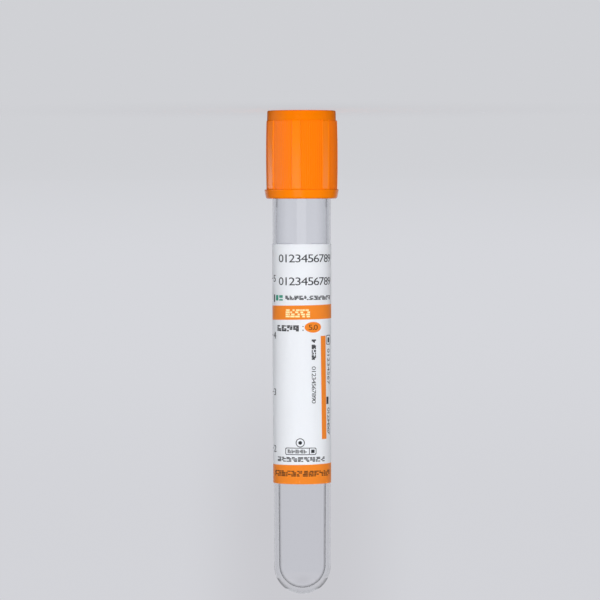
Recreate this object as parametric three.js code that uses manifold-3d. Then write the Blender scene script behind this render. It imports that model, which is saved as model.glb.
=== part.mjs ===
// A blood collection tube: a clear moulded tube with a round bottom, a rubber stopper in its
// mouth, a safety cap over the stopper, and a label round the tube.
// Millimetres. Each piece is drawn about the tube's own axis, which is local Y with the outside
// of the round bottom at zero and the middle of the label towards local Z. The round bottom
// can't stand and the side rolls, so the whole stands on its head: on the flat rim of the cap.

import * as THREE from "three";
import { mergeVertices } from "three/addons/utils/BufferGeometryUtils.js";
import Module from "manifold-3d";

const wasm = await Module();
wasm.setup();

// Tube
const tubeLength = 100;
const tubeDiameter = 12.85; // outside, at the mouth: a nominal 13
const tubeDraft = 0.44; // how much narrower the outside is where the round bottom starts
const mouthWall = 0.82;
const footWall = 1.25; // where the round bottom starts: the core pin tapers
const bottomWall = 1.3;

// Stopper
const plugLength = 10; // below the tube's mouth
const sealBandRise = 0.3; // from the plug's own wall out to its sealing bands
const sealBandHeight = 1.6;
const sealBandGap = 1.6;
const stopperFlangeInset = 0.3; // from the tube's outside in to the flange's edge
const stopperFlangeThickness = 2.2;
const headRise = 0.6; // from the neck out to the bead that snaps over the cap's ledge
const headThickness = 0.9;
const wellDiameter = 6.6; // the well that guides the needle
const wellFlare = 0.2; // how far the well's wall opens out at its mouth
const wellDepth = 3.25;
const wellRound = 0.6; // where the wall meets the septum
const hollowDiameter = 6.4; // the hollow underside
const hollowRound = 1.5;
const septumThickness = 3.6; // what the needle goes through

// Cap
const capHeight = 19.25;
const recessDepth = 1.05; // from the cap's top down to the stopper
const ledgeWidth = 1.2; // how far the ledge reaches in over the stopper's flange
const ledgeThickness = 1.0;
const gripWall = 1.09; // from the skirt's bore out to the crests of the grip
const ringWall = 0.7; // from the skirt's bore out to the plain ring at the top
const ringHeight = 2.15;
const ringTaper = 0.05;
const flangeWidth = 1.32; // from the skirt's bore out to the flange's lip
const flangeHeight = 2.0;
const flangeUndercut = 0.36; // how far the flange's foot is in from its lip
const flangeRound = 0.5; // round the foot
const leadIn = 0.3; // how far the skirt's mouth and the top's recess open out
const leadInHeight = 0.6;
const gripBulge = 0.12; // how far the grip pulls in at its top
const gripBulgeHeight = 7.2; // from the flange up to where the grip is widest

// Ratchet grip
const panelCount = 7;
const panelTurn = -1.8; // degrees from the middle of the front to the nearest step
const stepDepth = 0.19; // the drop from a crest to the foot of the next panel
const stepAngle = 1.2; // degrees: the draft of the step's face
const landAngle = 13.4; // degrees: the smooth land that climbs to the crest
const landRise = 0.1;
const fluteCount = 10; // fine flutes between a step and its land
const fluteDepth = 0.05;

// Label
const labelHeight = 52.3;
const labelBelowCap = 9.9;
const labelThickness = 0.07;
const labelWindow = 4.6; // the clear strip left at the back, between the label's two edges

// Rounds on moulded edges
const edgeRound = 0.3;
const beadRound = 0.2; // under the stopper's snap-in bead

// Clearances
const sealClearance = 0.15; // sealing bands to the bore
const seatGap = 0.3; // stopper to the tube's rim, and to both sides of the cap's ledge
const snapClearance = 0.3; // stopper's flange, neck and head to the cap round them
const skirtClearance = 0.4; // cap's skirt to the tube
const labelGap = 0.03; // label to the tube: its adhesive

const ROUND = 60; // facets round the axis
const ARC_STEP = THREE.MathUtils.degToRad(10);
const FILLET_STEP = THREE.MathUtils.degToRad(30);
const GRIP_STEPS = 6;
const INSIDE = 0.3; // how far joined solids reach into each other
const BEYOND = 1; // how far a cut runs past the face it opens

// Radii and heights that pieces share
const tubeRadius = tubeDiameter / 2;
const footRadius = tubeRadius - tubeDraft / 2;
const boreRadius = tubeRadius - mouthWall;
const boreFootRadius = footRadius - footWall;
const boreFootHeight = bottomWall + boreFootRadius;

const stopperFlangeRadius = tubeRadius - stopperFlangeInset;
const ledgeRadius = stopperFlangeRadius + snapClearance - ledgeWidth;
const neckRadius = ledgeRadius - snapClearance;
const headRadius = neckRadius + headRise;

const stopperSeat = tubeLength + seatGap;
const stopperFlangeTop = stopperSeat + stopperFlangeThickness;
const ledgeBottom = stopperFlangeTop + seatGap;
const ledgeTop = ledgeBottom + ledgeThickness;
const headBottom = ledgeTop + seatGap;
const stopperTop = headBottom + headThickness;

const skirtRadius = tubeRadius + skirtClearance;
const flangeRadius = skirtRadius + flangeWidth;
const capTop = stopperTop + recessDepth;
const capBottom = capTop - capHeight;
const flangeTop = capBottom + flangeHeight;
const gripTop = capTop - ringHeight;

// The bore's and the tube's radius at a height along their drafted walls.
function boreRadiusAt(height) {
  const share = (height - boreFootHeight) / (tubeLength - boreFootHeight);
  return THREE.MathUtils.lerp(boreFootRadius, boreRadius, share);
}

function tubeRadiusAt(height) {
  const share = (height - footRadius) / (tubeLength - footRadius);
  return THREE.MathUtils.lerp(footRadius, tubeRadius, share);
}

// A quarter circle from the axis out to the wall, about (0, height).
function roundBottom(height, radius) {
  const steps = Math.round(Math.PI / 2 / ARC_STEP);
  const points = [new THREE.Vector2(0, height - radius)];
  for (let i = 1; i <= steps; i++) {
    const angle = (i / steps) * (Math.PI / 2);
    points.push(new THREE.Vector2(radius * Math.sin(angle), height - radius * Math.cos(angle)));
  }
  return points;
}

// A profile from its corners, each [radius, height, fillet]. The two ends stay sharp.
function filleted(corners) {
  return corners.flatMap(([x, y, fillet = 0], i) => {
    const corner = new THREE.Vector2(x, y);
    if (!fillet) return [corner];
    const towards = (other) => new THREE.Vector2(other[0], other[1]).sub(corner).normalize();
    const before = towards(corners[i - 1]);
    const after = towards(corners[i + 1]);
    const half = before.angleTo(after) / 2;
    const middle = before.clone().add(after).normalize();
    const centre = corner.clone().addScaledVector(middle, fillet / Math.sin(half));
    const start = corner.clone().addScaledVector(before, fillet / Math.tan(half));
    const turn = Math.PI - 2 * half;
    const way = -Math.sign(before.cross(after));
    const steps = Math.max(1, Math.round(turn / FILLET_STEP));
    return Array.from({ length: steps + 1 }, (_, k) =>
      start.clone().rotateAround(centre, (way * turn * k) / steps),
    );
  });
}

function turned(profile) {
  return new THREE.LatheGeometry(profile, ROUND);
}

// A geometry as a manifold-3d solid, and back.
function solidFrom(geometry) {
  const bare = geometry.clone();
  bare.deleteAttribute("normal");
  bare.deleteAttribute("uv");
  const merged = mergeVertices(bare, 1e-4);
  const vertProperties = new Float32Array(merged.attributes.position.array);
  const triVerts = new Uint32Array(merged.index.array);
  return new wasm.Manifold(new wasm.Mesh({ numProp: 3, vertProperties, triVerts }));
}

function geometryFrom(solid) {
  const { vertProperties, triVerts } = solid.getMesh();
  const indexed = new THREE.BufferGeometry();
  indexed.setAttribute("position", new THREE.BufferAttribute(vertProperties, 3));
  indexed.setIndex(new THREE.BufferAttribute(triVerts, 1));
  const geometry = indexed.toNonIndexed();
  geometry.computeVertexNormals();
  return geometry;
}

// The tube's wall in one profile: out round the bottom, up the outside, over the rim, down the
// bore and in round its bottom.
function tubeGeometry() {
  const wall = filleted([
    [footRadius, footRadius],
    [tubeRadius, tubeLength, edgeRound],
    [boreRadius, tubeLength, edgeRound],
    [boreFootRadius, boreFootHeight],
  ]);
  const outside = roundBottom(footRadius, footRadius);
  const inside = roundBottom(boreFootHeight, boreFootRadius).reverse();
  return turned([...outside, ...wall.slice(1, -1), ...inside]);
}

// The stopper's profile: hollow underside, plug with two sealing bands, flange over the tube's
// rim, neck through the cap's ledge, head over the ledge, and the needle's well.
function stopperGeometry() {
  const plugBottom = tubeLength - plugLength;
  const wellBottom = stopperTop - wellDepth;
  const hollowTop = wellBottom - septumThickness;
  const bandRadiusAt = (height) => boreRadiusAt(height) - sealClearance;
  const plugRadiusAt = (height) => bandRadiusAt(height) - sealBandRise;
  const sealBand = (foot, top) => [
    [plugRadiusAt(foot), foot],
    [bandRadiusAt(foot), foot + sealBandRise],
    [bandRadiusAt(top - sealBandRise), top - sealBandRise],
    [plugRadiusAt(top), top],
  ];
  const firstBand = plugBottom + sealBandGap;
  const secondBand = firstBand + sealBandHeight + sealBandGap;
  return turned(
    filleted([
      [0, hollowTop],
      [hollowDiameter / 2, hollowTop, hollowRound],
      [hollowDiameter / 2, plugBottom, edgeRound],
      [plugRadiusAt(plugBottom), plugBottom, edgeRound],
      ...sealBand(firstBand, firstBand + sealBandHeight),
      ...sealBand(secondBand, secondBand + sealBandHeight),
      [plugRadiusAt(stopperSeat), stopperSeat],
      [stopperFlangeRadius, stopperSeat, edgeRound],
      [stopperFlangeRadius, stopperFlangeTop, edgeRound],
      [neckRadius, stopperFlangeTop],
      [neckRadius, headBottom],
      [headRadius, headBottom, beadRound],
      [headRadius, stopperTop, edgeRound],
      [wellDiameter / 2 + wellFlare, stopperTop, edgeRound],
      [wellDiameter / 2, wellBottom, wellRound],
      [0, wellBottom],
    ]),
  );
}

// The grip's section: each panel starts at the foot of a step, is fluted over its gentle climb,
// and ends in a smooth land that climbs to the crest of the next step.
function gripOutline() {
  const crestRadius = skirtRadius + gripWall;
  const panelFoot = crestRadius - stepDepth;
  const landFoot = crestRadius - landRise;
  const panelAngle = 360 / panelCount;
  const flutedAngle = panelAngle - stepAngle - landAngle;
  const points = [];
  const put = (degrees, radius) => {
    const angle = THREE.MathUtils.degToRad(degrees);
    points.push(new THREE.Vector2(radius * Math.sin(angle), -radius * Math.cos(angle)));
  };
  for (let panel = 0; panel < panelCount; panel++) {
    const start = panelTurn + panel * panelAngle + stepAngle;
    for (let flute = 0; flute < fluteCount; flute++) {
      const crest = THREE.MathUtils.lerp(panelFoot, landFoot, flute / fluteCount);
      put(start + (flutedAngle * flute) / fluteCount, crest);
      put(start + (flutedAngle * (flute + 0.5)) / fluteCount, crest - fluteDepth);
    }
    put(start + flutedAngle, landFoot);
    put(start + flutedAngle + landAngle / 2, (landFoot + crestRadius) / 2);
    put(start + flutedAngle + landAngle, crestRadius);
  }
  return new THREE.Shape(points);
}

// The grip as a barrel: the section extruded up the axis, drawn in above and below its widest.
function gripGeometry() {
  const bottom = flangeTop - INSIDE;
  const geometry = new THREE.ExtrudeGeometry(gripOutline(), {
    depth: gripTop - bottom,
    steps: GRIP_STEPS,
    bevelEnabled: false,
  });
  geometry.rotateX(-Math.PI / 2);
  geometry.translate(0, bottom, 0);
  const widest = flangeTop + gripBulgeHeight;
  const position = geometry.attributes.position;
  const point = new THREE.Vector3();
  for (let i = 0; i < position.count; i++) {
    point.fromBufferAttribute(position, i);
    const share = (point.y - widest) / (gripTop - widest);
    const scale = 1 - (gripBulge * share * share) / (skirtRadius + gripWall);
    position.setXYZ(i, point.x * scale, point.y, point.z * scale);
  }
  return geometry;
}

// The cap: flange, core and top ring turned as one blank, the grip joined round it, and the
// inside cut out in one piece from the skirt's mouth through the ledge to the top.
function capGeometry() {
  const ringRadius = skirtRadius + ringWall;
  const coreRadius = skirtRadius + ringWall / 2;
  const blank = turned(
    filleted([
      [0, capBottom],
      [flangeRadius - flangeUndercut, capBottom, flangeRound],
      [flangeRadius, flangeTop],
      [coreRadius, flangeTop],
      [coreRadius, gripTop - INSIDE],
      [ringRadius, gripTop - INSIDE],
      [ringRadius - ringTaper, capTop, edgeRound],
      [0, capTop],
    ]),
  );
  const recessRadius = headRadius + snapClearance;
  const flangeRoomRadius = stopperFlangeRadius + snapClearance;
  const inside = turned(
    filleted([
      [0, capBottom - BEYOND],
      [skirtRadius + leadIn, capBottom - BEYOND],
      [skirtRadius + leadIn, capBottom],
      [skirtRadius, capBottom + leadInHeight],
      [skirtRadius, stopperSeat],
      [flangeRoomRadius, stopperSeat],
      [flangeRoomRadius, ledgeBottom],
      [ledgeRadius, ledgeBottom],
      [ledgeRadius, ledgeTop],
      [recessRadius, ledgeTop],
      [recessRadius, capTop - leadIn],
      [recessRadius + leadIn, capTop],
      [recessRadius + leadIn, capTop + BEYOND],
      [0, capTop + BEYOND],
    ]),
  );
  const body = solidFrom(blank).add(solidFrom(gripGeometry()));
  return geometryFrom(body.subtract(solidFrom(inside)));
}

// The label: a thin sleeve that follows the tube's draft, less the window along its back.
function labelGeometry() {
  const top = capBottom - labelBelowCap;
  const bottom = top - labelHeight;
  const innerAt = (height) => tubeRadiusAt(height) + labelGap;
  const corners = [
    [innerAt(bottom), bottom],
    [innerAt(bottom) + labelThickness, bottom],
    [innerAt(top) + labelThickness, top],
    [innerAt(top), top],
    [innerAt(bottom), bottom],
  ];
  const sleeve = turned(filleted(corners));
  const reach = tubeRadius + BEYOND;
  const window = new THREE.BoxGeometry(labelWindow, labelHeight + 2 * BEYOND, reach);
  window.translate(0, (top + bottom) / 2, -reach / 2);
  return geometryFrom(solidFrom(sleeve).subtract(solidFrom(window)));
}

function piece(name, geometry, color, roughness, extra = {}) {
  const material = new THREE.MeshStandardMaterial({ color, roughness, metalness: 0, ...extra });
  const mesh = new THREE.Mesh(geometry, material);
  mesh.name = name;
  return mesh;
}

// Drawn along Y, then stood up along Z with the label's middle facing -Y.
const upright = new THREE.Group();
upright.rotation.x = Math.PI / 2;
upright.add(
  piece("cap", capGeometry(), 0xfd8104, 0.4),
  piece("stopper", stopperGeometry(), 0x8b8680, 0.75),
  piece("tube", tubeGeometry(), 0xe9ecef, 0.05, { transparent: true, opacity: 0.35 }),
  piece("label", labelGeometry(), 0xeef1f5, 0.55),
);

// Turned over onto the rim of the cap, which rests at height zero.
const bloodCollectionTube = new THREE.Group();
bloodCollectionTube.rotation.y = Math.PI;
bloodCollectionTube.position.z = capTop;
bloodCollectionTube.add(upright);

export default bloodCollectionTube;
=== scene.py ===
import math
import random

import bmesh
import bpy
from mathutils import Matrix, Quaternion, Vector


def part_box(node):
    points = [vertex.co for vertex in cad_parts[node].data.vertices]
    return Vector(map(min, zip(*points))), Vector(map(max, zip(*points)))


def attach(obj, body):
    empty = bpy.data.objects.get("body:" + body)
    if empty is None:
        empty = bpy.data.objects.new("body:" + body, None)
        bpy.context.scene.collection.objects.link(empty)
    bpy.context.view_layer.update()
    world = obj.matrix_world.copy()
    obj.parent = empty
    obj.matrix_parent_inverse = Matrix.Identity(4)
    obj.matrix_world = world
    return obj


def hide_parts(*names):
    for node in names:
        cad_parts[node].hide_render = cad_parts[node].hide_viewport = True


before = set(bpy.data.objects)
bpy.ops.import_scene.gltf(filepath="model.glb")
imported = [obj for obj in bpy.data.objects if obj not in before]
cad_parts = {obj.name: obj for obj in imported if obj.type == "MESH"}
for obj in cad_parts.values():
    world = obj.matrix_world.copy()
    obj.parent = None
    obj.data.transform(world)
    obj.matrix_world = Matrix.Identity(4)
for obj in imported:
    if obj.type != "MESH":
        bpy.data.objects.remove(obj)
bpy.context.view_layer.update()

# ------------------------------------------------------------------------------------------
# The tube. Clear PET, injection moulded in one shot over a long tapered core pin, so its wall
# is thicker at the round bottom than at the mouth. Mould and pin are polished, and so is it.
# Heights are millimetres down from the outside of the round bottom, which stands uppermost.

MM = 0.001
COLUMNS = 192  # faces round a turned piece

tube_low, tube_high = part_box("tube")
tip = tube_high.z
tube_length = (tube_high.z - tube_low.z) / MM
draft = 0.22  # how much narrower the outside is at the foot, so that the tube leaves its mould
mouth_wall = 0.82
foot_wall = 1.14
mouth_radius = tube_high.x / MM
foot_radius = mouth_radius - draft
bore_radius = mouth_radius - mouth_wall
bore_foot_radius = foot_radius - foot_wall
bore_end = 1.3  # thickness of the round bottom
tip_flat = 0.01  # half the width of the flat in the middle of the round bottom
edge_round = 0.3
foot_length = 50  # of the thicker, clearer end
lead_in = tube_length - 15.1  # from here the pin was polished again, for the stopper


def place(radius, angle, height):
    """A point of the frame, from millimetres about the tube's axis. The angle runs to the
    right from the middle of the label."""
    across = -radius * math.sin(angle) * MM
    along = -radius * math.cos(angle) * MM
    return Vector((across, along, tip - height * MM))


def rounded(corners, step=10):
    """A profile from its corners, each (radius, height) or (radius, height, round), with a
    point every step degrees of a round. A point is held just outside each round, so that the
    straights beside it shade flat."""
    hold = 0.04
    points = []
    for i, (*corner, fillet) in enumerate((*c, 0)[:3] for c in corners):
        corner = Vector(corner)
        if not fillet:
            points.append(corner)
            continue
        sides = [Vector(corners[i + k][:2]) - corner for k in (-1, 1)]
        before, after = (side.normalized() for side in sides)
        half = before.angle(after) / 2
        cut = fillet / math.tan(half)
        centre = corner + (before + after).normalized() * fillet / math.sin(half)
        spoke = corner + before * cut - centre
        bend = math.copysign(math.pi - 2 * half, -before.cross(after))
        steps = math.ceil(abs(bend) / math.radians(step))
        if sides[0].length > cut + hold:
            points.append(corner + before * (cut + hold))
        for k in range(steps + 1):
            cos, sin = math.cos(bend * k / steps), math.sin(bend * k / steps)
            spun = Vector((spoke.x * cos - spoke.y * sin, spoke.x * sin + spoke.y * cos))
            points.append(centre + spun)
        if sides[1].length > cut + hold:
            points.append(corner + after * (cut + hold))
    return points


def make_piece(name, bm):
    """A smooth piece from its faces, crisp where they meet at more than 32 degrees."""
    bmesh.ops.recalc_face_normals(bm, faces=bm.faces)
    mesh = bpy.data.meshes.new(name)
    bm.to_mesh(mesh)
    bm.free()
    mesh.shade_smooth()
    mesh.set_sharp_from_angle(angle=math.radians(32))
    made = bpy.data.objects.new(name, mesh)
    bpy.context.collection.objects.link(made)
    return made


def loft(name, rings, closed=False):
    """A closed piece through rings of points. A ring of one point is a pole. Closed, the last
    ring joins the first, and otherwise each open end gets a face."""
    bm = bmesh.new()
    loops = [[bm.verts.new(point) for point in ring] for ring in rings]
    following = loops[1:] + loops[:1] if closed else loops[1:]
    for a, b in zip(loops, following):
        for k in range(max(len(a), len(b))):
            corners = a[k % len(a)], a[(k + 1) % len(a)], b[(k + 1) % len(b)], b[k % len(b)]
            bm.faces.new(list(dict.fromkeys(corners)))
    for end in (loops[0], loops[-1]):
        if len(end) > 1 and not closed:
            bm.faces.new(end)
    return make_piece(name, bm)


def round_piece(name, profile):
    """A piece that is round all the way, from a profile that starts and ends on the axis."""
    rings = []
    for radius, height in profile:
        count = COLUMNS if radius > 0.001 else 1
        angles = [2 * math.pi * k / COLUMNS for k in range(count)]
        rings.append([place(radius, angle, height) for angle in angles])
    return loft(name, rings)


def skin_at(height):
    """The corner of the tube's outside at a height."""
    return foot_radius + (mouth_radius - foot_radius) * height / tube_length, height


def bore_at(height):
    """The corner of the bore at a height."""
    share = (height - bore_end) / (tube_length - bore_end)
    return bore_foot_radius + (bore_radius - bore_foot_radius) * share, height


clear_tube = round_piece(
    "clear_tube",
    rounded(
        [
            (0, 0),
            (foot_radius, 0, foot_radius - tip_flat),
            skin_at(foot_length),
            (mouth_radius, tube_length, edge_round),
            (bore_radius, tube_length, edge_round),
            bore_at(lead_in),
            bore_at(foot_length),
            (bore_foot_radius, bore_end, bore_foot_radius - tip_flat),
            (0, bore_end),
        ],
        step=4,
    ),
)


def srgb(code):
    """A colour from its sRGB hex code, in the linear values that nodes take."""
    shares = [int(code[i : i + 2], 16) / 255 for i in (1, 3, 5)]
    linear = [s / 12.92 if s < 0.04045 else ((s + 0.055) / 1.055) ** 2.4 for s in shares]
    return (*linear, 1.0)


def add_node(tree, kind, inputs=None, **settings):
    """Adds a node with its settings. An input takes a value, or the socket that feeds it."""
    added = tree.nodes.new("ShaderNode" + kind)
    for name, value in settings.items():
        setattr(added, name, value)
    for name, value in (inputs or {}).items():
        if isinstance(value, bpy.types.NodeSocket):
            tree.links.new(value, added.inputs[name])
        else:
            added.inputs[name].default_value = value
    return added


def new_material(name):
    """A material with an empty tree, and that tree."""
    material = bpy.data.materials.new(name)
    material.use_nodes = True
    material.node_tree.nodes.clear()
    return material, material.node_tree


def moulded_pet(name, tints_and_painted_shade):
    """PET, injection moulded to a high polish: clear as glass, with the faint ripple that the
    cooling wall keeps, about 3 mm across and five times as long. Its colour is one tint, or a
    painted shade that changes with how edge on the surface is seen, standing in for the dark
    that the wall reflects near the bore's edges: tints_and_painted_shade is one tint, or pairs
    of how edge on the surface is seen and the tint there. What is seen through it is refracted,
    and the light of lamps and matte surfaces passes straight through to the label and the
    stopper."""
    material, tree = new_material(name)
    coords = add_node(tree, "TexCoord")
    stretched = add_node(
        tree, "Mapping", {"Vector": coords.outputs["Object"], "Scale": (1, 1, 0.2)}
    )
    ripple = add_node(
        tree,
        "TexNoise",
        {"Vector": stretched.outputs[0], "Scale": 1 / (3 * MM), "Detail": 1.0},
    )
    rippled = add_node(
        tree,
        "Bump",
        {"Height": ripple.outputs["Fac"], "Strength": 0.15, "Distance": 0.01 * MM},
    )
    polish = add_node(
        tree, "MapRange", {"Value": ripple.outputs["Fac"], "To Min": 0.01, "To Max": 0.05}
    )
    if isinstance(tints_and_painted_shade, str):
        tint_and_painted_shade = srgb(tints_and_painted_shade)
    else:
        # Painted shade: the tint changes with how edge on the surface is seen.
        edge_on = add_node(tree, "LayerWeight", {"Blend": 0.5})
        graded = add_node(tree, "ValToRGB", {"Fac": edge_on.outputs["Facing"]})
        stops = graded.color_ramp.elements
        while len(stops) < len(tints_and_painted_shade):
            stops.new(0.5)
        for stop, (facing, tint) in zip(stops, tints_and_painted_shade):
            stop.position = facing
            stop.color = srgb(tint)
        tint_and_painted_shade = graded.outputs["Color"]
    pet = add_node(
        tree,
        "BsdfPrincipled",
        {
            "Base Color": tint_and_painted_shade,
            "Roughness": polish.outputs["Result"],
            "IOR": 1.57,
            "Specular Tint": srgb("#CBCBCB"),
            "Transmission Weight": 1.0,
            "Normal": rippled.outputs["Normal"],
        },
    )
    straight_through = add_node(tree, "BsdfTransparent", {"Color": srgb("#FBFCFD")})
    path = add_node(tree, "LightPath")
    lighting = add_node(
        tree,
        "Math",
        {0: path.outputs["Is Shadow Ray"], 1: path.outputs["Is Diffuse Ray"]},
        operation="MAXIMUM",
    )
    shown = add_node(
        tree,
        "MixShader",
        {"Fac": lighting.outputs[0], 1: pet.outputs[0], 2: straight_through.outputs[0]},
    )
    add_node(tree, "OutputMaterial", {"Surface": shown.outputs[0]})
    return material


# The outside and the bore each have a finish for the wall and a clearer one for the foot. Their
# tints paint shade by how edge on the surface is seen: a grey band across the outside, and a
# dark line along the bore's edge, darkest and sharpest round the foot and at the mouth, where
# the pin had its second polish.
skin_painted_shade = [
    (0.12, "#F5F6F9"),
    (0.19, "#ECEDF0"),
    (0.28, "#DDDEE2"),
    (0.40, "#CED0D4"),
    (0.50, "#C3C5C9"),
    (0.62, "#E3E4E7"),
    (0.90, "#E0E1E4"),
]
clear_pet = moulded_pet("clear_pet", skin_painted_shade)
bore_pet = moulded_pet("bore_pet", [(0.72, "#FEFEFF"), (1.0, "#606368")])
foot_pet = moulded_pet("foot_pet", "#F9FAFC")
foot_bore_pet = moulded_pet("foot_bore_pet", [(0.54, "#FEFEFF"), (0.77, "#060708")])
mouth_bore_pet = moulded_pet("mouth_bore_pet", [(0.62, "#FEFEFF"), (0.81, "#101113")])
pet_finishes = [clear_pet, bore_pet, foot_pet, foot_bore_pet, mouth_bore_pet]
for finish in pet_finishes:
    clear_tube.data.materials.append(finish)
mid_wall_radius = (foot_radius + bore_foot_radius) / 2
for face in clear_tube.data.polygons:
    radius = face.center.to_2d().length / MM
    height = (tip - face.center.z) / MM
    in_bore = radius < mid_wall_radius and height > bore_end
    finish = clear_pet
    if height < foot_length:
        finish = foot_bore_pet if in_bore else foot_pet
    elif in_bore:
        finish = mouth_bore_pet if height > lead_in else bore_pet
    face.material_index = pet_finishes.index(finish)
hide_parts("tube")
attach(clear_tube, "tube_body")

# ------------------------------------------------------------------------------------------
# The stopper. Grey butyl rubber, compression moulded: a plug with two sealing bands and a
# hollow underside, a flange over the tube's rim, and a head that snaps over the cap's ledge.

stopper_low, stopper_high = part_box("stopper")
plug_bottom = (tip - stopper_high.z) / MM
stopper_top = (tip - stopper_low.z) / MM
stopper_flange_radius = stopper_high.x / MM
gap = 0.3  # between pieces that fit over each other
flange_low = tube_length + gap
flange_high = flange_low + 2.2
neck_radius = stopper_flange_radius - 1.2
head_radius = neck_radius + 0.6
head_low = stopper_top - 0.9
well_radius = 3.3  # the needle's way in
well_bottom = stopper_top - 3.25
hollow_radius = 3.2
hollow_top = well_bottom - 3.6  # the rubber that the needle goes through
band_radius = bore_radius - 0.16
plug_radius = band_radius - 0.3
band = 1.6  # height of a sealing band, and of the groove under it


def seal_band(foot):
    """The corners of one sealing band, up from its foot."""
    slope = 0.3
    return [
        (plug_radius, foot, 0.1),
        (band_radius, foot + slope, 0.15),
        (band_radius, foot + band - slope, 0.15),
        (plug_radius, foot + band, 0.1),
    ]


rubber_stopper = round_piece(
    "rubber_stopper",
    rounded(
        [
            (0, hollow_top),
            (hollow_radius, hollow_top, 1.5),
            (hollow_radius, plug_bottom, edge_round),
            (plug_radius, plug_bottom, edge_round),
            *seal_band(plug_bottom + band),
            *seal_band(plug_bottom + 3 * band),
            (plug_radius, flange_low, 0.15),
            (stopper_flange_radius, flange_low, edge_round),
            (stopper_flange_radius, flange_high, edge_round),
            (neck_radius, flange_high, 0.1),
            (neck_radius, head_low, 0.1),
            (head_radius, head_low, 0.2),
            (head_radius, stopper_top, edge_round),
            (well_radius + 0.2, stopper_top, edge_round),
            (well_radius, well_bottom, 0.6),
            (0, well_bottom),
        ]
    ),
)

# Butyl rubber from an etched mould: matte, with a soft sheen and a fine even grain, about
# 0.15 mm across, and a bloom of paler dust in patches a few millimetres wide.
grey_rubber, tree = new_material("grey_rubber")
coords = add_node(tree, "TexCoord")
grain = add_node(
    tree,
    "TexNoise",
    {"Vector": coords.outputs["Object"], "Scale": 1 / (0.15 * MM), "Detail": 2.0},
)
grained = add_node(
    tree, "Bump", {"Height": grain.outputs["Fac"], "Strength": 0.35, "Distance": 0.02 * MM}
)
bloom = add_node(
    tree,
    "TexNoise",
    {"Vector": coords.outputs["Object"], "Scale": 1 / (3 * MM), "Detail": 4.0},
)
dusted = add_node(
    tree,
    "Mix",
    {"Factor": bloom.outputs["Fac"], 6: srgb("#7C7772"), 7: srgb("#96918B")},
    data_type="RGBA",
)
matte = add_node(
    tree, "MapRange", {"Value": bloom.outputs["Fac"], "To Min": 0.6, "To Max": 0.8}
)
rubber = add_node(
    tree,
    "BsdfPrincipled",
    {
        "Base Color": dusted.outputs[2],
        "Roughness": matte.outputs["Result"],
        "IOR": 1.52,
        "Sheen Weight": 0.15,
        "Normal": grained.outputs["Normal"],
    },
)
add_node(tree, "OutputMaterial", {"Surface": rubber.outputs[0]})

rubber_stopper.data.materials.append(grey_rubber)
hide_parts("stopper")
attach(rubber_stopper, "cap_body")

# ------------------------------------------------------------------------------------------
# The safety cap. Orange polyethylene, injection moulded: a plain ring, a ratchet grip of seven
# panels and a flange. Each panel is finely fluted and ends in a smooth land that climbs to a
# crest. It snaps over the stopper's head, and both pull off together.

cap_low, cap_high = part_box("cap")
cap_top = (tip - cap_low.z) / MM
cap_bottom = (tip - cap_high.z) / MM
lip_radius = cap_high.x / MM
skirt_radius = lip_radius - 1.32  # inside the cap, round the tube
crest_radius = skirt_radius + 1.09
ring_radius = skirt_radius + 0.7
grip_top = cap_top - 2.15
lip_height = cap_bottom + 2.0
panels = 7
panel_turn = math.radians(-1.8)  # from the middle of the label to the nearest crest
panel_angle = 2 * math.pi / panels
step_angle = math.radians(1.2)
land_angle = math.radians(13.4)
flutes = 10
flute_depth = 0.05
step_depth = 0.19  # from a crest to the foot of the next panel
land_rise = 0.07
grip_middle = lip_height + 7.2
barrel = 0.12  # how far the grip draws in from its middle to its top


def grip_columns():
    """Each column of the cap's faces as its angle, how far the panel lies in from the crest
    there, how far into a flute it is, and whether the faces to its right are fluted."""
    step_columns, flute_columns, land_columns = 10, 8, 16
    fluted_angle = panel_angle - step_angle - land_angle
    columns = []
    for panel in range(panels):
        start = panel_turn + panel * panel_angle
        for k in range(step_columns):
            share = k / step_columns
            drop = step_depth * share * share * (3 - 2 * share)
            columns.append((start + step_angle * share, drop, 0, False))
        for k in range(flutes * flute_columns):
            share = k / (flutes * flute_columns)
            drop = step_depth + (land_rise - step_depth) * share
            flute = 0.5 - 0.5 * math.cos(2 * math.pi * k / flute_columns)
            if k > (flutes - 1) * flute_columns:
                flute *= 2  # the groove beside the land
            columns.append((start + step_angle + fluted_angle * share, drop, flute, True))
        foot = start + step_angle + fluted_angle
        inner = crest_radius - land_rise
        for k in range(land_columns):
            angle = land_angle * k / land_columns
            chord = crest_radius * math.sin(angle) + inner * math.sin(land_angle - angle)
            radius = inner * crest_radius * math.sin(land_angle) / chord
            columns.append((foot + angle, crest_radius - radius, 0, False))
    return columns


columns = grip_columns()


def plain_ring(radius, height):
    """A row of points round the cap, where it is plain."""
    return [place(radius, angle, height) for angle, *_ in columns]


def grip_ring(height, inset=0.0, flute_share=1.0):
    """A row of points round the grip, which is widest half way up. Inset takes it further in,
    and flute_share is how deep the flutes are there."""
    draw_in = barrel * ((height - grip_middle) / (grip_top - grip_middle)) ** 2
    crest = crest_radius - draw_in - inset
    return [
        place(crest - drop - flute * flute_depth * flute_share, angle, height)
        for angle, drop, flute, _ in columns
    ]


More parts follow.
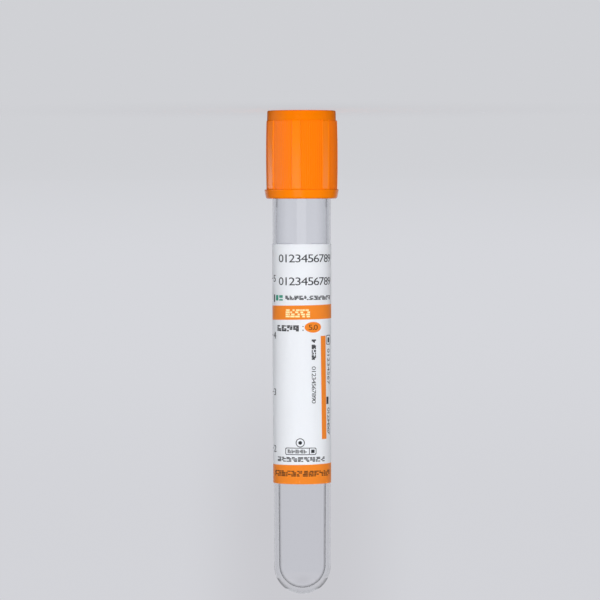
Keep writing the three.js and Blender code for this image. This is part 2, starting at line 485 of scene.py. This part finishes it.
recess_radius = head_radius + gap
flange_room_radius = stopper_flange_radius + gap
ledge_radius = flange_room_radius - 1.2  # the stopper's head snaps over this ledge
ledge_low = flange_high + gap
ledge_high = ledge_low + 1.0
chamfer = 0.3  # at the mouth of the recess
shoulder = 0.15  # round along the top of the panels
shoulder_steps = 5
grip_pitch = 1.5  # between rows of the grip
ring_part = rounded(
    [
        (recess_radius + chamfer, cap_top),
        (ring_radius - 0.05, cap_top, edge_round),
        (ring_radius, grip_top + 0.1),
        (ring_radius, grip_top),
    ]
)
flange_part = rounded(
    [
        (crest_radius + 0.05, lip_height),
        (lip_radius, lip_height, 0.12),
        (lip_radius - 0.36, cap_bottom, 0.5),
        (skirt_radius + 0.3, cap_bottom, 0.1),
        (skirt_radius, cap_bottom + 0.6, 0.3),
        (skirt_radius, flange_low),
        (flange_room_radius, flange_low, 0.1),
        (flange_room_radius, ledge_low),
        (ledge_radius, ledge_low, 0.1),
        (ledge_radius, ledge_high, 0.1),
        (recess_radius, ledge_high, 0.1),
        (recess_radius, cap_top - chamfer, 0.2),
        (recess_radius + chamfer, cap_top),
    ]
)
flange_part.pop()  # it is the first point of the ring
rings = [plain_ring(*point) for point in ring_part]
for k in range(shoulder_steps + 1):
    bend = math.pi / 2 * k / shoulder_steps
    height = grip_top - shoulder * (1 - math.cos(bend))
    rings.append(grip_ring(height, shoulder * (1 - math.sin(bend)), flute_share=0))
grip_heights = [grip_top - shoulder - 0.1, grip_top - 0.6, grip_top - 1.2]
grip_heights += [lip_height + grip_pitch * k for k in range(9, 0, -1)]
grip_heights += [lip_height + 0.45]
rings += [grip_ring(height) for height in grip_heights]
# The flutes run out into the flange.
rings.append(grip_ring(lip_height + 0.2, flute_share=0.6))
rings.append(grip_ring(lip_height + 0.05, inset=-0.02, flute_share=0.2))
rings += [plain_ring(*point) for point in flange_part]
safety_cap = loft("safety_cap", rings, closed=True)


def moulded_polyethylene(name, pigments, smooth, rough, shine):
    """Polyethylene, ejected warm: a little waxy, with a fine grain about 0.12 mm across from
    the steel, and faint streaks of pigment along the flow, about 1.2 mm wide. Its roughness
    runs from smooth to rough with the streaks, and shine is how much of its gloss it keeps."""
    material, tree = new_material(name)
    coords = add_node(tree, "TexCoord")
    spark = add_node(
        tree,
        "TexNoise",
        {"Vector": coords.outputs["Object"], "Scale": 1 / (0.12 * MM), "Detail": 1.0},
    )
    grained = add_node(
        tree,
        "Bump",
        {"Height": spark.outputs["Fac"], "Strength": 0.5 * smooth, "Distance": 0.01 * MM},
    )
    along = add_node(
        tree, "Mapping", {"Vector": coords.outputs["Object"], "Scale": (1, 1, 0.15)}
    )
    flow = add_node(
        tree,
        "TexNoise",
        {"Vector": along.outputs[0], "Scale": 1 / (1.2 * MM), "Detail": 3.0},
    )
    pigment = add_node(
        tree,
        "Mix",
        {"Factor": flow.outputs["Fac"], 6: srgb(pigments[0]), 7: srgb(pigments[1])},
        data_type="RGBA",
    )
    satin = add_node(
        tree,
        "MapRange",
        {"Value": flow.outputs["Fac"], "To Min": smooth, "To Max": rough},
    )
    polyethylene = add_node(
        tree,
        "BsdfPrincipled",
        {
            "Base Color": pigment.outputs[2],
            "Roughness": satin.outputs["Result"],
            "IOR": 1.51,
            "Specular IOR Level": shine,
            "Normal": grained.outputs["Normal"],
        },
    )
    add_node(tree, "OutputMaterial", {"Surface": polyethylene.outputs[0]})
    return material


# The lands and the flange come off steel with a high polish, and the flutes off an eroded one,
# whose shine is broken up. The ring comes off an insert with a bead blast finish, and is the
# dullest. The lands and the flange have a lighter orange, a painted light, and the ring a
# darker one, a painted shade.
polished_painted_lighter = moulded_polyethylene(
    "polished_polyethylene", ("#FD7F00", "#FF8700"), smooth=0.16, rough=0.24, shine=0.35
)
eroded = moulded_polyethylene(
    "eroded_polyethylene", ("#FD7800", "#FF8000"), smooth=0.34, rough=0.42, shine=0.17
)
blasted_painted_darker = moulded_polyethylene(
    "blasted_polyethylene", ("#EC7900", "#F08000"), smooth=0.34, rough=0.42, shine=0.07
)
cap_finishes = [polished_painted_lighter, eroded, blasted_painted_darker]
for finish in cap_finishes:
    safety_cap.data.materials.append(finish)
grip_rows = range(len(ring_part), len(rings) - len(flange_part))
for face in safety_cap.data.polygons:
    row, column = divmod(face.index, len(columns))
    *_, fluted = columns[column]
    finish = polished_painted_lighter
    if row < grip_rows[0]:
        finish = blasted_painted_darker
    elif row in grip_rows and fluted:
        finish = eroded
    face.material_index = cap_finishes.index(finish)
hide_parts("cap")
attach(safety_cap, "cap_body")

# ------------------------------------------------------------------------------------------
# The label. White coated film, die cut and wrapped round the tube on its adhesive. Its two
# edges stop short of each other at the back, which leaves a clear strip to see the level by.

label_low, label_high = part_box("label")
label_bottom = (tip - label_high.z) / MM
label_top = (tip - label_low.z) / MM
label_thickness = 0.07
glue = 0.03  # between the film and the tube
window_width = 4.6  # of the clear strip at the back
window_half = math.asin(window_width / 2 / mouth_radius)


def label_radius(height):
    """The label's outside, which follows the tube's draft."""
    share = (height - foot_radius) / (tube_length - foot_radius)
    return foot_radius + (mouth_radius - foot_radius) * share + glue + label_thickness


label_angles = [
    (math.pi - window_half) * (2 * k / COLUMNS - 1) for k in range(COLUMNS + 1)
]
label_corners = [
    (label_top, 0.0),
    (label_bottom, 0.0),
    (label_bottom, label_thickness),
    (label_top, label_thickness),
]
inner_side = 2  # the side from the third corner to the fourth, on the tube
label_film = loft(
    "label_sheet",
    [
        [place(label_radius(height) - depth, angle, height) for height, depth in label_corners]
        for angle in label_angles
    ],
)

# Coated film: white and half glossy, with the faint dimples of the coating, about 0.3 mm
# apart, and a trace of unevenness in its white. It is thin enough to pass some light.
coated_film, tree = new_material("coated_film")
coords = add_node(tree, "TexCoord")
dimple = add_node(
    tree,
    "TexNoise",
    {"Vector": coords.outputs["Object"], "Scale": 1 / (0.3 * MM), "Detail": 2.0},
)
dimpled = add_node(
    tree, "Bump", {"Height": dimple.outputs["Fac"], "Strength": 0.15, "Distance": 0.01 * MM}
)
white = add_node(
    tree,
    "Mix",
    {"Factor": dimple.outputs["Fac"], 6: srgb("#EBEEF3"), 7: srgb("#EFF1F5")},
    data_type="RGBA",
)
film = add_node(
    tree,
    "BsdfPrincipled",
    {
        "Base Color": white.outputs[2],
        "Roughness": 0.45,
        "IOR": 1.49,
        "Normal": dimpled.outputs["Normal"],
    },
)
glow = add_node(tree, "BsdfTranslucent", {"Color": white.outputs[2]})
thin_film = add_node(
    tree, "MixShader", {"Fac": 0.15, 1: film.outputs[0], 2: glow.outputs[0]}
)
add_node(tree, "OutputMaterial", {"Surface": thin_film.outputs[0]})

# The back of the film, wetted to the tube by clear adhesive: matte and pale. What light has
# come through the white passes on into the tube, so the print shows through it faintly.
film_back, tree = new_material("film_back")
wetted = add_node(tree, "BsdfDiffuse", {"Color": srgb("#F4F5F7")})
passed_on = add_node(tree, "BsdfTranslucent", {"Color": srgb("#FCFCFD")})
glued_film = add_node(
    tree, "MixShader", {"Fac": 0.85, 1: wetted.outputs[0], 2: passed_on.outputs[0]}
)
add_node(tree, "OutputMaterial", {"Surface": glued_film.outputs[0]})

film_finishes = [coated_film, film_back]
for finish in film_finishes:
    label_film.data.materials.append(finish)
for face in label_film.data.polygons[: len(label_corners) * COLUMNS]:
    if face.index % len(label_corners) == inner_side:
        face.material_index = film_finishes.index(film_back)
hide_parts("label")
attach(label_film, "tube_body")

# ------------------------------------------------------------------------------------------
# The label's print. Flexographic inks on the film, pressed one at a time: orange fields first,
# then the pale, green, dark and brown inks. Each is laid out flat, in millimetres to the right
# of the label's middle and up the label from the round bottom, and then wrapped round.

INK = 0.012  # how far a layer of ink stands off the film
INK_DEPTH = 1.8  # in layers, so that ink reaches a little into what it lies on
WRAP = 0.35  # widest flat facet of ink on the curved film


def area(bm, points):
    """A flat field of ink inside the points."""
    bm.faces.new([bm.verts.new((x, y, 0)) for x, y in points])


def bar(bm, left, low, right, high, skew=0.0):
    """A rectangle, skewed up to the right by skew millimetres a millimetre."""
    corners = [(left, low), (right, low), (right, high), (left, high)]
    area(bm, [(x, y + skew * x) for x, y in corners])


def oval(bm, x, y, half_width, half_height, sides=48):
    """An oval round x, y."""
    angles = [2 * math.pi * k / sides for k in range(sides)]
    area(bm, [(x + half_width * math.cos(a), y + half_height * math.sin(a)) for a in angles])


def outline(bm, points, width):
    """A closed line of the given width round points, inside them."""
    mid = sum((Vector(p) for p in points), Vector((0, 0))) / len(points)
    spans = [max(abs(p[axis] - mid[axis]) for p in points) for axis in (0, 1)]
    shrink = [(span - width) / span for span in spans]
    inner = [
        [mid[axis] + (p[axis] - mid[axis]) * shrink[axis] for axis in (0, 1)] for p in points
    ]
    for k in range(len(points)):
        after = (k + 1) % len(points)
        area(bm, [points[k], points[after], inner[after], inner[k]])


def round_box(left, low, right, high, corner):
    """The points round a box with rounded corners."""
    points = []
    centres = [(right, high, 0), (left, high, 90), (left, low, 180), (right, low, 270)]
    for x, y, start in centres:
        x += corner if x == left else -corner
        y += corner if y == low else -corner
        for angle in range(start, start + 91, 15):
            a = math.radians(angle)
            points.append((x + corner * math.cos(a), y + corner * math.sin(a)))
    return points


def digits(bm, text, x, y, height, pitch, turn=0.0):
    """Numerals in a plain wide face, the first centred at x, y, and each a pitch further along
    the line, which runs at the angle turn."""
    widen = 1.3
    along = Vector((math.cos(turn), math.sin(turn)))
    for k, character in enumerate(text):
        font = bpy.data.curves.new("digit", "FONT")
        font.body = character
        font.resolution_u = 4
        shape = bpy.data.objects.new("digit", font)
        bpy.context.collection.objects.link(shape)
        bpy.context.view_layer.update()
        drawn = shape.evaluated_get(bpy.context.evaluated_depsgraph_get()).to_mesh()
        spots = [vertex.co.to_2d() for vertex in drawn.vertices]
        low = Vector([min(spot[axis] for spot in spots) for axis in (0, 1)])
        high = Vector([max(spot[axis] for spot in spots) for axis in (0, 1)])
        scale = height / (high.y - low.y)
        centre = Vector((x, y)) + along * pitch * k
        new = []
        for spot in spots:
            off = (spot - (low + high) / 2) * scale
            off.x *= widen
            new.append(bm.verts.new((*(centre + along * off.x + along.orthogonal() * off.y), 0)))
        for face in drawn.polygons:
            bm.faces.new([new[i] for i in face.vertices])
        bpy.data.objects.remove(shape)
        bpy.data.curves.remove(font)


def small_print(bm, left, low, right, high, count, seed, turn=False, weight=0.76):
    """A line of small print, as cells of short bars that spell nothing. Turned, it runs down.
    Weight is how much of its row a bar fills."""
    draw = random.Random(seed)
    run = (high - low if turn else right - left) / count
    deep = right - left if turn else high - low
    rows = 4
    cell_end = 0.88
    for k in range(count):
        for row in range(rows):
            split = draw.uniform(0.25, 0.7)
            whole = [(0, cell_end)]
            first = [(0, split)]
            last = [(split - 0.15, cell_end)]
            both = [(0, split - 0.06), (split + 0.04, cell_end)]
            for start, end in draw.choice([whole, first, last, both]):
                a, b = run * (k + start), run * (k + end)
                foot = deep * (row + 0.08) / rows
                top = foot + deep * weight / rows
                if turn:
                    bar(bm, left + foot, high - b, left + top, high - a)
                else:
                    bar(bm, left + a, low + foot, left + b, low + top)


def ink_material(name, code):
    """Flexographic ink on film: even colour, and a mottle about 0.25 mm across where it took
    unevenly. Half glossy, as the film is."""
    material, tree = new_material(name)
    coords = add_node(tree, "TexCoord")
    mottle = add_node(
        tree,
        "TexNoise",
        {"Vector": coords.outputs["Object"], "Scale": 1 / (0.25 * MM), "Detail": 2.0},
    )
    colour = srgb(code)
    paler = [*(0.94 * c + 0.02 for c in colour[:3]), 1.0]
    taken = add_node(
        tree,
        "Mix",
        {"Factor": mottle.outputs["Fac"], 6: colour, 7: paler},
        data_type="RGBA",
    )
    gloss = add_node(
        tree, "MapRange", {"Value": mottle.outputs["Fac"], "To Min": 0.38, "To Max": 0.48}
    )
    ink = add_node(
        tree,
        "BsdfPrincipled",
        {"Base Color": taken.outputs[2], "Roughness": gloss.outputs["Result"], "IOR": 1.49},
    )
    add_node(tree, "OutputMaterial", {"Surface": ink.outputs[0]})
    return material


def press(name, bm, ink, layer=1):
    """Wraps flat fields of ink round the label as a skin, and makes a piece of them. Layer 2
    lies over another ink."""
    reach = math.pi * mouth_radius
    for k in range(math.floor(-reach / WRAP), math.ceil(reach / WRAP)):
        every = bm.verts[:] + bm.edges[:] + bm.faces[:]
        bmesh.ops.bisect_plane(bm, geom=every, plane_co=(k * WRAP, 0, 0), plane_no=(1, 0, 0))
    lifted = bmesh.ops.extrude_face_region(bm, geom=bm.faces[:], use_keep_orig=True)
    for item in lifted["geom"]:
        if isinstance(item, bmesh.types.BMVert):
            item.co.z = 1
    for vertex in bm.verts:
        x, height, top = vertex.co
        radius = label_radius(height)
        stand_off = INK * (layer if top else layer - INK_DEPTH)
        vertex.co = place(radius + stand_off, x / radius, height)
    printed = make_piece(name, bm)
    printed.data.materials.append(ink)
    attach(printed, "tube_body")
    return printed


DOWN = -math.pi / 2  # the turn of a line that runs down the label
SKEW = 0.017  # the bands climb a little to the right, as the film was wrapped
half_label = (math.pi - window_half) * mouth_radius
band_rise = SKEW * half_label

# Two bands, a tapered bar and the field behind the volume.
flat = bmesh.new()
bar(flat, -half_label, 60.5, half_label, 63.6, skew=SKEW)
lower_band = [(-half_label, label_bottom), (half_label, label_bottom)]
lower_band += [(half_label, 28.85 + band_rise), (-half_label, 28.85 - band_rise)]
area(flat, lower_band)
area(flat, [(4.75, 34.35), (6.27, 34.35), (5.98, 56.9), (4.44, 56.9)])
oval(flat, 2.55, 58.82, 1.97, 1.17)
inks = [press("print_orange", flat, ink_material("orange_ink", "#EF841A"))]

# A line of bold marks on the upper band.
flat = bmesh.new()
small_print(flat, -3.72, 60.97, 1.93, 62.81, count=5, seed=4)
inks.append(press("print_pale", flat, ink_material("pale_ink", "#FDEBAE"), layer=2))

# Three blocks beside the line above that band.
flat = bmesh.new()
bar(flat, -6.87, 64.6, -5.9, 65.8)
bar(flat, -5.6, 64.6, -4.52, 64.95)
bar(flat, -5.6, 65.2, -4.52, 65.8)
inks.append(press("print_green", flat, ink_material("green_ink", "#38967F")))

# Two rows of numerals, a line of print under them, and a line with a colon beside the oval.
flat = bmesh.new()
for row in (73.82, 68.83):
    digits(flat, "0123456789", -4.99, row, height=1.72, pitch=1.39)
small_print(flat, -3.82, 64.77, 8.15, 65.72, count=11, seed=5, weight=0.84)
small_print(flat, -6.27, 57.91, -0.49, 59.26, count=4, seed=8, weight=0.9)
for dot in (58.1, 58.9):
    bar(flat, 0.12, dot, 0.36, dot + 0.2)

# A line that runs down the middle, and a column of boxes and numerals past the tapered bar.
column_middle = 7.24
small_print(flat, 2.15, 51.6, 3.17, 56.17, count=4, seed=13, turn=True, weight=0.92)
digits(flat, "01234567890", 2.66, 49.9, height=0.95, pitch=0.73, turn=DOWN)
outline(flat, round_box(6.27, 54.93, 8.21, 57.04, corner=0.3), width=0.16)
bar(flat, 6.8, 55.4, 7.6, 56.5)
digits(flat, "01234567", column_middle, 53.6, height=1.1, pitch=0.99, turn=DOWN)
bar(flat, 6.3, 41.94, 7.18, 43.55)
digits(flat, "01234567", column_middle, 40.7, height=1.1, pitch=0.72, turn=DOWN)

# A ring with a dot, a box with a divider, and a line under them.
outline(flat, round_box(-1.42, 32.65, 0.58, 34.65, corner=1.0), width=0.18)
oval(flat, -0.42, 33.65, 0.4, 0.4, sides=24)
outline(flat, round_box(-3.9, 30.99, 3.24, 32.57, corner=0.35), width=0.16)
bar(flat, 1.5, 31.16, 1.66, 32.4)
small_print(flat, -3.3, 31.35, 1.2, 32.2, count=5, seed=21)
bar(flat, 2.0, 31.4, 2.8, 32.15)
small_print(flat, -6.27, 29.48, 5.74, 30.57, count=9, seed=34)

# The fill marks, a millilitre apart, and a block at the left.
for numeral, mark in zip("5432", (69.4, 57.0, 44.6, 32.2)):
    digits(flat, numeral, -7.5, mark, height=1.5, pitch=0)
    bar(flat, -10.2, mark - 0.1, -8.6, mark + 0.1)
bar(flat, -7.9, 64.3, -7.3, 65.9)
inks.append(press("print_dark", flat, ink_material("dark_ink", "#26282E")))

# A line on the lower band, and the volume on the oval.
flat = bmesh.new()
small_print(flat, -7.57, 26.27, 7.84, 27.59, count=12, seed=55)
digits(flat, "50", 1.9, 58.8, height=1.15, pitch=1.25)
oval(flat, 2.53, 58.36, 0.15, 0.15, sides=12)
inks.append(press("print_brown", flat, ink_material("brown_ink", "#5E350C"), layer=2))

# ------------------------------------------------------------------------------------------
# The floor. Plain pale grey paper, laid flat under the cap's rim and wide enough to meet the
# backdrop. It keeps the cap's soft shadow, and fades into the backdrop's own grey further off.

FLOOR_TONE = "#D0D1D5"
BACKDROP = "#D6D7DC"
DARK_SIDE = "#2E3033"  # the unlit room that gloss shows away from the backdrop
FLOOR_RADIUS = 3000 * MM
SHADOW_START = 12 * MM  # from the axis, where the paper starts to fade
SHADOW_END = 90 * MM
FAR_START = 200 * MM
FAR_SHARE = 0.22  # of the backdrop's grey in the paper's tone at its edge

floor_bm = bmesh.new()
bmesh.ops.create_circle(floor_bm, cap_ends=True, segments=96, radius=FLOOR_RADIUS)
floor_mesh = bpy.data.meshes.new("floor")
floor_bm.to_mesh(floor_mesh)
floor_bm.free()
floor = bpy.data.objects.new("floor", floor_mesh)
bpy.context.collection.objects.link(floor)

# Matte paper, plain and even. Near the cap it is lit and shaded, with its own pale tone mixed
# in so that the shadow stays soft. Past that it shows the even tone alone.
grey_paper, tree = new_material("grey_paper")
coords = add_node(tree, "TexCoord")
distance = add_node(tree, "VectorMath", {0: coords.outputs["Object"]}, operation="LENGTH")
away = add_node(
    tree,
    "MapRange",
    {"Value": distance.outputs["Value"], "From Min": SHADOW_START, "From Max": SHADOW_END},
    interpolation_type="SMOOTHSTEP",
)
paper = add_node(tree, "BsdfDiffuse", {"Color": srgb("#F2F3F5")})
far = add_node(
    tree,
    "MapRange",
    {
        "Value": distance.outputs["Value"],
        "From Min": FAR_START,
        "From Max": FLOOR_RADIUS,
        "To Max": FAR_SHARE,
    },
)
tone = add_node(
    tree,
    "Mix",
    {"Factor": far.outputs["Result"], 6: srgb(FLOOR_TONE), 7: srgb(BACKDROP)},
    data_type="RGBA",
)
even_tone = add_node(tree, "Emission", {"Color": tone.outputs[2]})
pale_tone = add_node(tree, "Emission", {"Color": srgb(BACKDROP), "Strength": 1.12})
near_paper = add_node(
    tree, "MixShader", {"Fac": 0.65, 1: paper.outputs[0], 2: pale_tone.outputs[0]}
)
faded = add_node(
    tree,
    "MixShader",
    {"Fac": away.outputs["Result"], 1: near_paper.outputs[0], 2: even_tone.outputs[0]},
)
dark_floor = add_node(tree, "Emission", {"Color": srgb(DARK_SIDE)})
path = add_node(tree, "LightPath")
not_seen = add_node(
    tree,
    "MixShader",
    {"Fac": path.outputs["Is Glossy Ray"], 1: paper.outputs[0], 2: dark_floor.outputs[0]},
)
seen = add_node(
    tree,
    "Math",
    {0: path.outputs["Is Camera Ray"], 1: path.outputs["Is Transmission Ray"]},
    operation="MAXIMUM",
)
floor_shown = add_node(
    tree, "MixShader", {"Fac": seen.outputs[0], 1: not_seen.outputs[0], 2: faded.outputs[0]}
)
add_node(tree, "OutputMaterial", {"Surface": floor_shown.outputs[0]})
floor.data.materials.append(grey_paper)

# ------------------------------------------------------------------------------------------
# The light. A wide soft source in front and a pair behind, about level with the tube, and one
# at each side for the label. Strips that only gloss shows draw the highlights: one down the
# tube, and one in front of the cap and at each side of it. The room is even and dim.

tube_middle = Vector((0, 0, 55 * MM))


def softbox(name, azimuth, elevation, distance, width, height, power):
    """A soft source that faces the middle of the tube. Azimuth and elevation are in degrees,
    sizes in metres and power in watts. Azimuth 0 is in front, and runs to the right."""
    a, e = math.radians(azimuth), math.radians(elevation)
    out = Vector((-math.sin(a) * math.cos(e), -math.cos(a) * math.cos(e), math.sin(e)))
    data = bpy.data.lights.new(name, "AREA")
    data.shape = "RECTANGLE"
    data.size = width
    data.size_y = height
    data.energy = power
    lamp = bpy.data.objects.new(name, data)
    lamp.location = tube_middle + out * distance
    lamp.rotation_euler = out.to_track_quat("Z", "Y").to_euler()
    bpy.context.collection.objects.link(lamp)
    return lamp


def keep_to(name, pieces, lamps):
    """Keeps the light of these lamps to these pieces."""
    lit_pieces = bpy.data.collections.new(name)
    for piece in pieces:
        lit_pieces.objects.link(piece)
    for lamp in lamps:
        lamp.light_linking.receiver_collection = lit_pieces


room_lamps = [
    softbox("key", 2, 0, 1.2, 0.9, 0.1, 12.9),
    softbox("back", 180, 6, 1.2, 1.6, 0.3, 7),
    softbox("back_middle", 180, 4, 1.2, 0.4, 0.3, 6),
]
label_lamps = [
    softbox("label_left", -90, 2, 1.0, 0.5, 0.3, 2.5),
    softbox("label_right", 90, 2, 1.0, 0.5, 0.3, 1.8),
]
for lamp in room_lamps + label_lamps:
    lamp.visible_glossy = False
    lamp.visible_transmission = False
    lamp.visible_camera = False
keep_to("label_only", [label_film, *inks], label_lamps)
tube_strip = softbox("front_strip", -1, -1, 1.2, 0.8, 0.16, 0.68)
cap_strips = [
    softbox("cap_front", -12, 8, 1.2, 0.56, 0.5, 1.1),
    softbox("cap_left", -87, 0, 0.8, 0.86, 0.1, 1.7),
    softbox("cap_right", 86, 0, 0.8, 0.2, 0.1, 0.11),
]
for lamp in [tube_strip, *cap_strips]:
    lamp.visible_diffuse = False
    lamp.visible_transmission = False
    lamp.visible_camera = False
keep_to("tube_only", [clear_tube], [tube_strip])
keep_to("cap_only", [safety_cap], cap_strips)

# The room. Its backdrop is seen straight and through the tube: pale grey, a little darker at the
# floor's far edge, and shaded softly behind the tube's upper end. Gloss shows that backdrop
# behind the tube and an unlit room elsewhere, and matte surfaces take the room's even light.
# Z is the height of the line of sight, as a share of its length, and X its lean to the side.
BACKDROP_SHADE = "#CACACF"
world = bpy.data.worlds.new("room")
world.cycles.sampling_method = "NONE"  # so even a room needs no map of its light
bpy.context.scene.world = world
world.use_nodes = True
tree = world.node_tree
tree.nodes.clear()
sky = add_node(tree, "TexCoord")
sight = add_node(tree, "SeparateXYZ", {"Vector": sky.outputs["Generated"]})
room = add_node(tree, "Background", {"Color": srgb("#FFFFFF"), "Strength": 0.24})
over_floor = add_node(
    tree,
    "MapRange",
    {"Value": sight.outputs["Z"], "From Min": -0.02, "From Max": 0.018},
    interpolation_type="SMOOTHSTEP",
)
plain_backdrop = add_node(
    tree,
    "Mix",
    {"Factor": over_floor.outputs["Result"], 6: srgb(FLOOR_TONE), 7: srgb(BACKDROP)},
    data_type="RGBA",
)
rise = add_node(
    tree,
    "MapRange",
    {"Value": sight.outputs["Z"], "From Min": 0.03, "From Max": 0.09},
    interpolation_type="SMOOTHSTEP",
)
lean = add_node(tree, "Math", {0: sight.outputs["X"]}, operation="ABSOLUTE")
column = add_node(
    tree,
    "MapRange",
    {
        "Value": lean.outputs[0],
        "From Min": 0.008,
        "From Max": 0.034,
        "To Min": 1.0,
        "To Max": 0.28,
    },
    interpolation_type="SMOOTHSTEP",
)
path = add_node(tree, "LightPath")
in_pet = path.outputs["Is Transmission Ray"]
shade_width = add_node(
    tree, "Math", {0: column.outputs["Result"], 1: in_pet}, operation="MAXIMUM"
)
shade = add_node(
    tree,
    "Math",
    {0: rise.outputs["Result"], 1: shade_width.outputs[0]},
    operation="MULTIPLY",
)
shaded_backdrop = add_node(
    tree,
    "Mix",
    {"Factor": shade.outputs[0], 6: plain_backdrop.outputs[2], 7: srgb(BACKDROP_SHADE)},
    data_type="RGBA",
)
backdrop = add_node(
    tree, "Background", {"Color": shaded_backdrop.outputs[2], "Strength": 1.0}
)
dark_side = add_node(tree, "Background", {"Color": srgb(DARK_SIDE), "Strength": 1.0})
behind = add_node(
    tree,
    "MapRange",
    {"Value": sight.outputs["Y"], "From Min": 0.55, "From Max": 0.95},
    interpolation_type="SMOOTHSTEP",
)
mirrored = add_node(
    tree,
    "MixShader",
    {"Fac": behind.outputs["Result"], 1: dark_side.outputs[0], 2: backdrop.outputs[0]},
)
not_seen = add_node(
    tree,
    "MixShader",
    {"Fac": path.outputs["Is Glossy Ray"], 1: room.outputs[0], 2: mirrored.outputs[0]},
)
seen = add_node(
    tree, "Math", {0: path.outputs["Is Camera Ray"], 1: in_pet}, operation="MAXIMUM"
)
room_shown = add_node(
    tree, "MixShader", {"Fac": seen.outputs[0], 1: not_seen.outputs[0], 2: backdrop.outputs[0]}
)
add_node(tree, "OutputWorld", {"Surface": room_shown.outputs[0]})

# ------------------------------------------------------------------------------------------
# The camera. It stands in front of the label, level with the foot of the cap, and is turned
# over, so that its picture shows the cap uppermost.

CAMERA_DISTANCE = 800
CAMERA_HEIGHT = 86.9  # this and the next are from the round bottom, as on the tube
AIM_HEIGHT = 64.6
LEAN = math.radians(0.12)
camera_data = bpy.data.cameras.new("camera")
camera_data.lens = 219
camera = bpy.data.objects.new("camera", camera_data)
bpy.context.collection.objects.link(camera)
aside = Vector((0.4 * MM, 0, 0))
camera.location = place(CAMERA_DISTANCE, 0, CAMERA_HEIGHT) + aside
towards = place(0, 0, AIM_HEIGHT) + aside - camera.location
camera.rotation_mode = "QUATERNION"
turned_over = Quaternion((0, 0, 1), math.pi - LEAN)
camera.rotation_quaternion = towards.to_track_quat("-Z", "Y") @ turned_over
bpy.context.scene.camera = camera
bpy.context.scene.view_settings.view_transform = "Standard"
